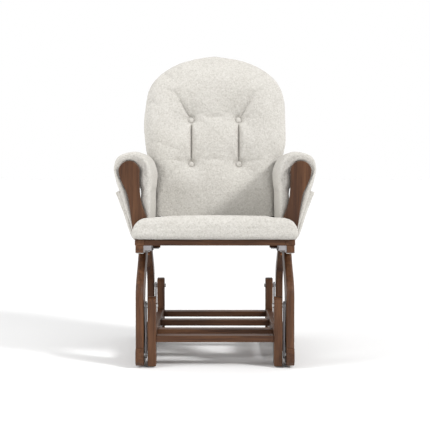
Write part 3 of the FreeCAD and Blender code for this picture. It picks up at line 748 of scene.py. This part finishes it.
def held_back(co, front):
    """How firmly each point stays put: at the front's buttons and folds, at the seam, low down."""
    flat = co[:, [0, 2]]
    held = np.zeros(len(co))
    low, high = BUTTON_V
    for side in (-1.0, 1.0):
        gap, _ = along(flat, (side * BUTTON_X, low), (side * BUTTON_X, high))
        held = np.maximum(held, (gap < FOLD_HELD) * 0.9)
        for v in BUTTON_V:
            gap = np.linalg.norm(flat - np.array((side * BUTTON_X, v)), axis=1)
            held = np.maximum(held, (gap < BUTTON_HELD) * 1.0)
    seam = np.clip(1.0 - np.abs(co[:, 1] - CUSHION_MIDDLE_N) / SEAM_HELD, 0.0, 1.0) * 0.8
    seated = np.clip((BACK_HELD_BELOW_V - co[:, 2]) / 0.060, 0.0, 0.9)
    return np.maximum(np.maximum(held * front, seam), seated)


def back_cushion():
    """The back cushion, drawn in at its buttons before and after it swells."""
    low = (-0.28, -0.13, 0.0)
    x, n, v = grid(low, (0.28, 0.02, 0.68), BACK_STEP)
    half = curve_points(BACK_ARCH)
    outline = np.concatenate([half, (half * (-1.0, 1.0))[-2::-1]])
    depth = -outline_distance(x[:, 0, :], v[:, 0, :], outline)[:, None, :]
    rim_here = BACK_RIM_LOW + (BACK_RIM - BACK_RIM_LOW) * rise(v, BACK_RIM_CHANGE_V, BACK_RIM_CHANGE)
    rim = np.maximum(rim_here - depth, 0.0) / rim_here
    across = np.abs(n - CUSHION_MIDDLE_N) / BACK_HALF_THICK
    body = np.hypot(rim, across) - 1.0
    cushion = skin("back_cushion_soft", body, low, BACK_STEP)
    relax(cushion, 6)
    co = places(cushion)
    front = front_share(co, 0.035)
    co[:, 1] += front * PULL_BEFORE_INFLATING * tuft_pull(co[:, [0, 2]])
    set_places(cushion, co)
    inflate(cushion, BACK_PRESSURE, BACK_SWELL, held_back(co, front))
    subdivide(cushion)
    co = places(cushion)
    rest_of_pull = (1.0 - PULL_BEFORE_INFLATING) * tuft_pull(co[:, [0, 2]])
    co[:, 1] += front_share(co, 0.030) * (rest_of_pull + stitched_pull(co[:, [0, 2]]))
    set_places(cushion, co)
    groove(cushion, co[:, 1] - CUSHION_MIDDLE_N, BACK_SEAM_DEPTH, BACK_SEAM_WIDTH)
    nap(cushion, 0.0008, LOOP_SCALE, 3)
    nap(cushion, 0.0028, 11.0, 4)
    to_world(cushion, BACK_PLANE)
    co = places(cushion)
    seat_start = (SEAT_PLANE @ Vector((0, 0, BACK_OVER_SEAT + SEAT_TOP))).z
    seat_here = seat_start + (co[:, 1] - SEAT_FRONT.y) * math.tan(SEAT_TILT)
    co[:, 2] = np.maximum(co[:, 2], seat_here)
    set_places(cushion, co)
    finish_soft(cushion, "back_cushion")
    return cushion


BUTTON_PROUD = 0.0045
BUTTON_SIDES = 32
# radius and height of each ring of a button, from its crown over the rim to its underside
BUTTON_RINGS = [(0.0, 0.0075), (0.0035, 0.0072), (0.0070, 0.0060), (0.0098, 0.0038), (0.0112, 0.0010),
                (0.0114, -0.0012), (0.0102, -0.0034), (0.0065, -0.0046), (0.0, -0.0048)]


def back_buttons(cushion):
    """Covered buttons, each a low dome with a rolled rim, sitting in the dimple that it makes."""
    count = BUTTON_SIDES
    verts = []
    faces = []
    into = (BACK_PLANE.to_3x3() @ Vector((0, 1, 0))).normalized()
    for side in (-1.0, 1.0):
        for v in BUTTON_V:
            start = BACK_PLANE @ Vector((side * BUTTON_X, CUSHION_FRONT_N - 0.05, v))
            hit, place, _, _ = cushion.ray_cast(start, into)
            n = (BACK_PLANE.inverted() @ place).y if hit else CUSHION_FRONT_N
            base = len(verts)
            for radius, height in BUTTON_RINGS:
                for i in range(count):
                    angle = 2.0 * math.pi * i / count
                    local = Vector((side * BUTTON_X + radius * math.cos(angle), n - BUTTON_PROUD - height,
                                    v + radius * math.sin(angle)))
                    verts.append(tuple(BACK_PLANE @ local))
            for r in range(len(BUTTON_RINGS) - 1):
                for i in range(count):
                    j = (i + 1) % count
                    a, b = base + r * count, base + (r + 1) * count
                    faces.append((a + i, a + j, b + j, b + i))
    buttons = mesh_object("back_buttons_soft", verts, faces)
    merge = buttons.modifiers.new("Weld", "WELD")
    merge.merge_threshold = 1e-5
    apply_modifiers(buttons)
    finish_soft(buttons, "back_buttons")


# Arm sleeves: the section as (distance from the middle, height)

PAD_STEP = 0.0035
PAD_FRONT_Y = -0.2655
PAD_REAR_Y = 0.139
PAD_END_ROUND = 0.011
PAD_PRESSURE = 2.0
PAD_SWELL = 0.004
PAD_HELD_BELOW = 0.560
PAD_CUT_X = 0.243
PAD_CUT_ROUND = 0.004
PANEL_END_N = 0.107
PAD_ROLL = [(0.301, 0.553), (0.314, 0.598), (0.3205, 0.630), (0.308, 0.664), (0.268, 0.678),
            (0.226, 0.667), (0.206, 0.632), (0.204, 0.592)]
PAD_INNER_PANEL = [(0.205, 0.520), (0.205, 0.414), (0.213, 0.413), (0.217, 0.450), (0.2265, 0.490),
                   (0.2335, 0.510), (0.2365, 0.530), (0.2350, 0.547), (0.2350, 0.560), (0.2385, 0.577),
                   (0.2392, 0.592)]
PAD_OUTER_PANEL = [(0.3005, 0.604), (0.2935, 0.588), (0.2775, 0.552), (0.2625, 0.480), (0.2495, 0.405),
                   (0.2565, 0.405)]
LOBE_CENTRE = (0.270, 0.6172)
LOBE_RADIUS = 0.0325
LOBE_PAST_LEVEL = 0.15


def arm_pads():
    """The two sleeves: a padded roll over the armrest, with a panel down each side of it."""
    low = (0.18, -0.29, 0.38)
    x, y, z = grid(low, (0.35, 0.17, 0.71), PAD_STEP)
    lobe = [(LOBE_CENTRE[0] - LOBE_RADIUS * math.cos(a), LOBE_CENTRE[1] + LOBE_RADIUS * math.sin(a))
            for a in np.linspace(-LOBE_PAST_LEVEL, math.pi + LOBE_PAST_LEVEL, 15)]
    outline = np.concatenate([curve_points(PAD_ROLL, 6), PAD_INNER_PANEL, lobe, PAD_OUTER_PANEL])
    section = outline_distance(x[:, 0, :], z[:, 0, :], outline)[:, None, :]
    middle = (PAD_FRONT_Y + PAD_REAR_Y) / 2.0
    body = round_max(section, box_distance(y - middle, PAD_REAR_Y - middle), PAD_END_ROUND)
    lean = math.tan(-RECLINE)
    # the inner panel stops short of the leaning back cushion
    behind = (BACK_FOOT.y + (z - BACK_FOOT.z) * lean - PANEL_END_N / math.cos(RECLINE)) - y
    cut = round_max(behind, x - PAD_CUT_X, PAD_CUT_ROUND)
    body = round_max(body, -cut, PAD_CUT_ROUND)
    pad = skin("arm_pad_right_soft", body, low, PAD_STEP)
    relax(pad, 5)
    held = np.clip((PAD_HELD_BELOW - places(pad)[:, 2]) / 0.05, 0.0, 0.9)
    inflate(pad, PAD_PRESSURE, PAD_SWELL, held)
    nap(pad, 0.0006, LOOP_SCALE, 5)
    nap(pad, 0.0012, 13.0, 6)
    other = mirror_copy(pad, "arm_pad_left_soft")
    finish_soft(pad, "arm_pad_right")
    finish_soft(other, "arm_pad_left")


# Pockets on the outer panels

POCKET_Y = (-0.255, 0.045)
POCKET_LINE = [(0.2575, 0.3985), (0.2700, 0.4215), (0.2910, 0.4845), (0.3160, 0.5500)]
POCKET_THICK = 0.0035
POCKET_COLUMNS = 90
POCKET_BELLY = 0.0045
POCKET_HEM_DEPTH = 0.0012
POCKET_HEM_AT = 0.90
POCKET_SAG = 0.004
POCKET_TUCK_WIDTH = 0.022
POCKET_GAP_LOW = 0.0015
POCKET_GAP_WIDENS = 0.0115


def pocket_lift(across, height):
    """How far the panel stands out at each share of its width and of its height.

    It bellies out in the middle, a hem line runs below its mouth, and its two side edges are
    tucked in against the sleeve, from which the panel stands away more and more upwards.
    """
    belly = np.sin(math.pi * across) ** 0.7 * (0.25 + 0.75 * height)
    hem = np.exp(-((height - POCKET_HEM_AT) / 0.012) ** 2)
    edge = np.minimum(across, 1.0 - across)
    tuck = 1.0 - np.clip(edge / POCKET_TUCK_WIDTH, 0.0, 1.0) ** 0.6
    gap = POCKET_GAP_LOW + POCKET_GAP_WIDENS * height
    return POCKET_BELLY * belly - POCKET_HEM_DEPTH * hem - gap * tuck


def arm_pockets():
    """The two pocket panels, each with an outer and an inner face and a rim that joins them."""
    line = curve_points(POCKET_LINE, 14)
    slope = np.gradient(line, axis=0)
    out = np.stack([slope[:, 1], -slope[:, 0]], axis=1)
    out /= np.linalg.norm(out, axis=1, keepdims=True)
    rows = len(line)
    columns = POCKET_COLUMNS
    even = np.linspace(-1.0, 1.0, columns)
    across = 0.5 + 0.5 * np.sin(even * math.pi / 2.0)
    height = np.linspace(0.0, 1.0, rows)[:, None]
    y = POCKET_Y[0] + (POCKET_Y[1] - POCKET_Y[0]) * across
    sag = -POCKET_SAG * height ** 4 * np.sin(math.pi * across)[None, :]
    lift = pocket_lift(across[None, :], height)
    verts = []
    for side in (1.0, -1.0):
        offset = lift + (0.0 if side > 0 else -POCKET_THICK)
        px = line[:, 0:1] + out[:, 0:1] * offset
        pz = line[:, 1:2] + out[:, 1:2] * offset + sag
        verts.append(np.stack([px, np.broadcast_to(y, px.shape), pz], axis=-1).reshape(-1, 3))
    number = np.arange(rows * columns).reshape(rows, columns)
    corners = [number[:-1, :-1], number[:-1, 1:], number[1:, 1:], number[1:, :-1]]
    outer = np.stack(corners, axis=-1).reshape(-1, 4)
    inner = outer[:, ::-1] + rows * columns
    rim = np.concatenate([number[0, :], number[1:, -1], number[-1, -2::-1], number[-2:0:-1, 0]])
    after = np.roll(rim, -1)
    sides = np.stack([after, rim, rim + rows * columns, after + rows * columns], axis=-1)
    faces = np.concatenate([outer, inner, sides])
    pocket = mesh_object("arm_pocket_right_soft", np.concatenate(verts), faces)
    nap(pocket, 0.0006, LOOP_SCALE, 7)
    nap(pocket, 0.0016, 18.0, 8)
    other = mirror_copy(pocket, "arm_pocket_left_soft")
    finish_soft(pocket, "arm_pocket_right")
    finish_soft(other, "arm_pocket_left")


# Studio

def floor_plane():
    size = FLOOR_HALF
    corners = [(-size, -size, 0), (size, -size, 0), (size, size, 0), (-size, size, 0)]
    floor = mesh_object("floor", corners, [(0, 1, 2, 3)])
    dress(floor, plain_floor())


def white_world():
    """A white surround whose strength fades towards the viewer's side."""
    world = bpy.data.worlds.new("studio")
    world.use_nodes = True
    sky = world.node_tree
    sky.nodes["Background"].inputs["Color"].default_value = (1.0, 1.0, 1.0, 1.0)
    direction = sky.nodes.new("ShaderNodeTexCoord")
    split = sky.nodes.new("ShaderNodeSeparateXYZ")
    fade = sky.nodes.new("ShaderNodeMapRange")
    fade.inputs["From Min"].default_value = -1.0
    fade.inputs["From Max"].default_value = WORLD_FULL_Y
    fade.inputs["To Min"].default_value = WORLD_IN_FRONT
    fade.inputs["To Max"].default_value = 1.0
    sky.links.new(direction.outputs["Generated"], split.inputs[0])
    sky.links.new(split.outputs["Y"], fade.inputs["Value"])
    sky.links.new(fade.outputs[0], sky.nodes["Background"].inputs["Strength"])
    bpy.context.scene.world = world


def aimed(name, kind, place):
    """A light that points at the middle of the chair."""
    light = bpy.data.lights.new(name, kind)
    obj = bpy.data.objects.new(name, light)
    obj.location = place
    obj.rotation_euler = (AIM - Vector(place)).to_track_quat("-Z", "Y").to_euler()
    bpy.context.collection.objects.link(obj)
    return light


def studio():
    """The floor, the surround, the two lights and the camera."""
    floor_plane()
    white_world()
    bpy.context.scene.view_settings.view_transform = "Standard"
    key = aimed("key", "SUN", KEY_PLACE)
    key.energy = KEY_STRENGTH
    key.angle = KEY_ANGLE
    fill = aimed("fill", "AREA", FILL_PLACE)
    fill.energy = FILL_POWER
    fill.size = FILL_SIZE
    camera = bpy.data.objects.new("camera", bpy.data.cameras.new("camera"))
    camera.location = CAMERA_PLACE
    camera.rotation_euler = (math.pi / 2.0 - CAMERA_DOWN, 0.0, 0.0)
    camera.data.lens = CAMERA_LENS
    bpy.context.collection.objects.link(camera)
    bpy.context.scene.camera = camera


dress_cad_nodes()
studio()
seat_cushion()
back_buttons(back_cushion())
arm_pads()
arm_pockets()
